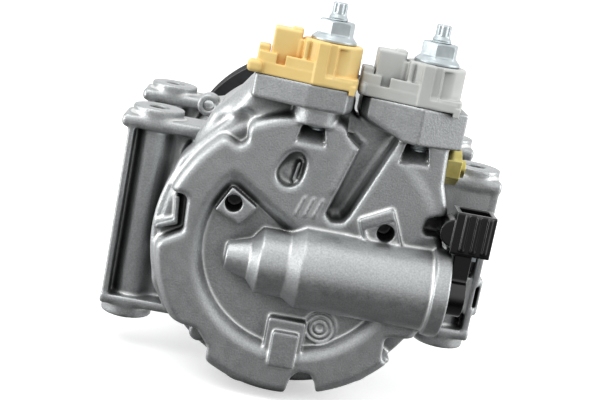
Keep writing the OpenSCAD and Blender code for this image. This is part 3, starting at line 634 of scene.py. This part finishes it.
def front_housing():
    g = Grid((-84, FRONT - 1, -63), (84, NOSE_END + 1, 63), 0.85)
    body = lobed(g, SHELL_R, 5.8, FRONT, SEAT, 1.0)
    body = join(body, lobed(g, 58.6, 6.0, FRONT, FRONT + 8, 1.2), 2)
    radius = np.hypot(g.x, g.z)
    profile = [(SEAT - 9, -9), (SEAT - 9, 48.5), (SEAT + 4, 48.5), (-24, 40), (-20, 36),
               (-20, 21), (-10.5, 19.5), (-10, 17.5), (NOSE_END, 17.5), (NOSE_END, -9)]
    body = join(body, outline(g.y, radius, profile, 1.5), 2.5)
    body = join(body, ear(g, LEFT, EAR_FAR_Y), 4)
    body = join(body, ear(g, RIGHT, EAR_FAR_Y), 4)
    body = cut(body, rod_y(g, 0, 0, CAVITY_R, FRONT - 9, SEAT - 12, 2), 0.3)
    body = cut(body, rod_y(g, 0, 0, 13, -70, NOSE_END + 9, 0), 0.4)
    body = ear_holes(g, body, EAR_FAR_Y)
    stand_in(to_mesh("front_housing_casting", g, body), "front_housing", "cast_aluminium")


# Caps, nuts and studs of the ports


def port_cap(name, node, slot, x, z, tab):
    """A moulded transport cap, drawn with its stud at the origin and its foot at height 0."""
    g = Grid((-33, -14, -3), (14, 14, 21), 0.3)
    base = plate(
        g, [(-28, -4.5), (-4.4, -11.6), (11, -11.2), (12, -8), (12, 10), (9, 12), (-28, 12)],
        0, 4.6, 1.2, 0.5)
    wall = plate(g, [(-28, -4.5), (-4.4, -11.6), (-4.4, -9.4), (-28, -2.3)], 0, 8.6, 0.8, 0.4)
    wall = cut(wall, box(g, (-20.6, -14, 4.6), (-17.2, 0, 12), 0.2), 0.3)
    d = join(base, wall, 0.5)
    d = join(d, box(g, (-28.2, -4, 0), (-23.6, 6, 11), 0.7), 0.4)
    d = join(d, box(g, (-28 - tab, -7, 0), (-25.5, 0, 4.8), 1.7), 0.6)
    d = join(d, box(g, (-23.2, -4.6, 2), (-12.4, 9, 18.6), 0.9), 0.4)
    d = join(d, box(g, (-16.6, -3.8, 16), (-12.2, 4, 19.6), 0.7), 0.4)
    d = join(d, box(g, (-13, -5, 2), (-8, 5, 15.6), 0.6), 0.8)
    d = join(d, box(g, (-11, -9.2, 2), (-8.9, 2, 16.4), 0.9), 0.6)
    body = rod_z(g, 0, 0, 12, 0, 16.5, 1.0)
    body = join(body, box(g, (-8.8, -8, 0), (3, 9, 16.5), 1.0), 0.8)
    body = join(body, box(g, (-6, -12, 0), (-1.4, 0, 16.5), 0.8), 0.6)
    body = join(body, box(g, (-2, -11.4, 0), (9.6, 0, 3.4), 0.5), 0.5)
    panel = box(g, (2.2, -20, 3.6), (9.2, -10.3, 15), 0.5)
    body = cut(body, panel, 0.6)
    body = cut(body, box(g, (-1.2, -20, 3.6), (1.6, -11.1, 20), 0.3), 0.6)
    d = join(d, body, 0.5)
    d = join(d, box(g, (8.8, -11.6, -1.8), (11.2, -8.8, 2), 0.4), 0.3)
    d = cut(d, rod_z(g, 0, 0, 4.2, -9, 30, 0), 0.3)
    stand_in(place(to_mesh(name, g, d), x, STUD_Y, z), node, slot)


def port_nut(number, x, z):
    """A flange nut with a domed top."""
    g = Grid((-10, -10, 15.5), (10, 10, 26.5), 0.22)
    radius = np.hypot(g.x, g.y)
    hexagon = [(7.5 * math.cos(math.radians(a)), 7.5 * math.sin(math.radians(a)))
               for a in range(14, 360, 60)]
    body = plate(g, hexagon, NUT_FOOT + 0.2, NUT_TOP - 0.1, 0.3, 0.3)
    dome = outline(radius, g.z, [(-9, 10), (9.6, 10), (9.6, 23), (6.4, NUT_TOP), (-9, NUT_TOP)], 0.2)
    body = -join(-body, -dome, 0.2)
    flange = outline(
        radius, g.z, [(-9, NUT_FOOT), (9, NUT_FOOT), (9, 17.7), (7.2, 19.4), (-9, 19.4)], 0.4)
    body = cut(join(body, flange, 0.8), rod_z(g, 0, 0, STUD_R + 0.1, 9, 30, 0), 0.5)
    nut = place(to_mesh(f"port_nut_{number}", g, body), x, STUD_Y, z)
    stand_in(nut, "port_nuts", "zinc_plated_steel")


def port_stud(number, x, z):
    """A threaded stud, whose driving end has six flutes."""
    g = Grid((-5, -5, -22), (5, 5, 33.5), 0.2)
    radius = np.hypot(g.x, g.y)
    rod = outline(radius, g.z, [(-9, -18.5), (3, -18.5), (STUD_R, -17), (STUD_R, 25.6), (3.0, 27.4),
                                (3.0, 31.6), (2.6, 32), (-9, 32)], 0.15)
    for a in range(0, 360, 60):
        u, v = 3.5 * math.cos(math.radians(a)), 3.5 * math.sin(math.radians(a))
        rod = cut(rod, rod_z(g, u, v, 0.85, 27.8, 40, 0.2), 0.3)
    turn = np.arctan2(g.y, g.x) / (2 * math.pi)
    thread = THREAD_DEPTH * np.cos(2 * math.pi * (g.z / THREAD_PITCH - turn))
    rod = rod + np.where(g.z < 26, THREAD_DEPTH + thread, 0)
    stud = place(to_mesh(f"port_stud_{number}", g, rod), x, STUD_Y, z)
    stand_in(stud, "port_studs", "zinc_plated_steel")


# Pieces


SLOT_OF = {s["node"]: s["material_slot"] for s in frame["record"]["subparts"]}
for name, node in frame["nodes"].items():
    paint(node, SLOT_OF[name])
for name in ("through_bolts", "pulley", "pulley_hub", "hub_nut", "shaft"):
    round_edges(frame["nodes"][name], 0.3)
soften(frame["nodes"]["valve_end_cap"], 0.35, 4)
soften(frame["nodes"]["relief_valve"], 0.25, 2)

rear_head()
cylinder_block()
front_housing()
port_cap("left_cap_moulding", "left_port_cap", "yellow_plastic", STUD_X[0], FOOT_Z[0], 3.5)
port_cap("right_cap_moulding", "right_port_cap", "white_plastic", STUD_X[1], FOOT_Z[1], 0.5)
for number, (x, z) in enumerate(zip(STUD_X, FOOT_Z)):
    port_nut(number, x, z)
    port_stud(number, x, z)


# Stage, light and camera


MIDDLE = (0, -0.15, 0)


def area_light(name, where, size, power):
    """A square lamp that faces the middle of the compressor."""
    data = bpy.data.lights.new(name, "AREA")
    data.size, data.energy = size, power
    lamp = bpy.data.objects.new(name, data)
    lamp.location = where
    lamp.rotation_mode = "QUATERNION"
    lamp.rotation_quaternion = (Vector(MIDDLE) - Vector(where)).to_track_quat("-Z", "Y")
    bpy.context.scene.collection.objects.link(lamp)


def floor():
    size = 120.0
    mesh = bpy.data.meshes.new("floor")
    mesh.from_pydata(
        [(-size, -size, 0), (size, -size, 0), (size, size, 0), (-size, size, 0)], [], [(0, 1, 2, 3)]
    )
    obj = bpy.data.objects.new("floor", mesh)
    obj.location.z = cad_low.z - 0.0005
    bpy.context.scene.collection.objects.link(obj)
    obj.visible_glossy = False
    obj.visible_diffuse = False
    s = Shader("floor", metallic=0.0)
    s.colour(s.ramp(s.noise(3, 2), [(0.3, 0.9), (0.7, 0.93)]))
    s.main.inputs["Roughness"].default_value = 0.9
    s.main.inputs["Specular IOR Level"].default_value = 0.1
    s.main.inputs["Emission Color"].default_value = (1, 1, 1, 1)
    s.main.inputs["Emission Strength"].default_value = 0.45
    obj.data.materials.append(s.material)


def world():
    """Bright above, beside and behind; dark in front and below, so that fillets shine."""
    w = bpy.data.worlds.new("studio")
    bpy.context.scene.world = w
    w.use_nodes = True
    tree = w.node_tree
    split = tree.nodes.new("ShaderNodeSeparateXYZ")
    tree.links.new(tree.nodes.new("ShaderNodeTexCoord").outputs["Generated"], split.inputs[0])

    def fade(axis, start, end, low, high):
        node = tree.nodes.new("ShaderNodeMapRange")
        node.interpolation_type = "SMOOTHSTEP"
        for socket, value in zip(list(node.inputs)[1:5], (start, end, low, high)):
            socket.default_value = value
        tree.links.new(split.outputs[axis], node.inputs["Value"])
        return node.outputs["Result"]

    def math_node(operation, a, b):
        node = tree.nodes.new("ShaderNodeMath")
        node.operation = operation
        tree.links.new(a, node.inputs[0])
        tree.links.new(b, node.inputs[1])
        return node.outputs[0]

    above = fade("Z", -0.45, 0.35, 0.05, 1.0)
    around = fade("Y", -0.8, -0.3, 0.0, 1.0)
    below = fade("Z", -0.95, -0.15, 0.12, 1.0)
    light = math_node("MULTIPLY", math_node("MAXIMUM", above, around), below)
    background = tree.nodes["Background"]
    tree.links.new(light, background.inputs["Color"])
    background.inputs["Strength"].default_value = 1.05


def camera(where, azimuth, elevation, roll, lens):
    """Azimuth 0 looks along +Y, and roll turns the picture clockwise."""
    a, e, r = (math.radians(v) for v in (azimuth, elevation, roll))
    back = Vector((math.sin(a) * math.cos(e), -math.cos(a) * math.cos(e), math.sin(e)))
    right = Vector((0, 0, 1)).cross(back).normalized()
    up = back.cross(right)
    across = right * math.cos(r) + up * math.sin(r)
    above = -right * math.sin(r) + up * math.cos(r)
    data = bpy.data.cameras.new("camera")
    data.sensor_width = 36
    data.lens = lens
    cam = bpy.data.objects.new("camera", data)
    bpy.context.scene.collection.objects.link(cam)
    cam.matrix_world = Matrix(
        [[across[i], above[i], back[i], where[i]] for i in range(3)] + [[0, 0, 0, 1]]
    )
    bpy.context.scene.camera = cam


camera((-0.03045, -0.68183, 0.12636), -3.11, 11.92, 11.07, 75.7)
floor()
world()
area_light("key", (-0.4, -0.45, 0.9), 0.7, 3)
area_light("left", (-0.9, -0.4, 0.1), 0.6, 4)
area_light("right", (0.9, -0.3, 0.25), 0.6, 3)
bpy.context.scene.view_settings.view_transform = "Standard"
